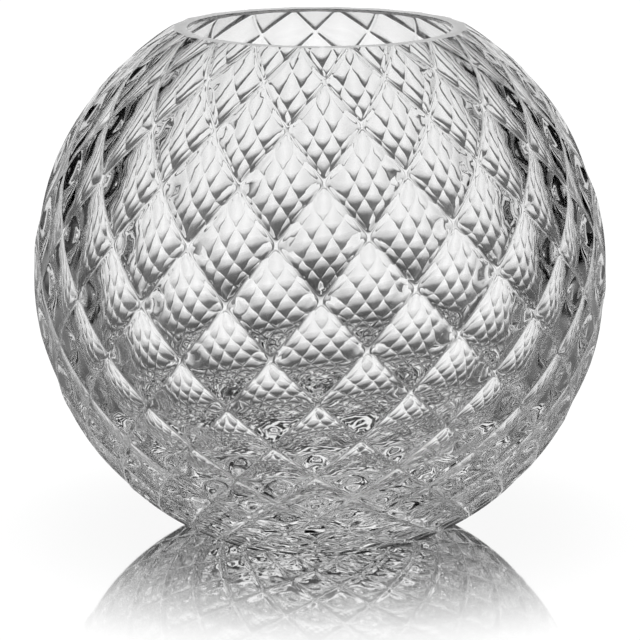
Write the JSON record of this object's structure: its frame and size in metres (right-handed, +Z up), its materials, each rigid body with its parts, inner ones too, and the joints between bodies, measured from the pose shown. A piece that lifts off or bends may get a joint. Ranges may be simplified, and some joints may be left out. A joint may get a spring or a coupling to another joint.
{
  "type": "glass ball vase",
  "caption": "Round clear crystal vase with a level cut mouth, a flat foot and a quilted diamond pattern of hollows between raised ridges.",
  "frame": {"origin": "middle of the flat foot, on the surface that the vase stands on", "axes": "+Z up along the vase's own axis; -Y is the front that the picture shows, +X is to the right of the front"},
  "size_m": [0.1796, 0.1796, 0.1595],
  "materials": {
    "crystal": "fire-polished"
  },
  "bodies": {
    "root": {"glass_body": "crystal"}
  },
  "joints": []
}
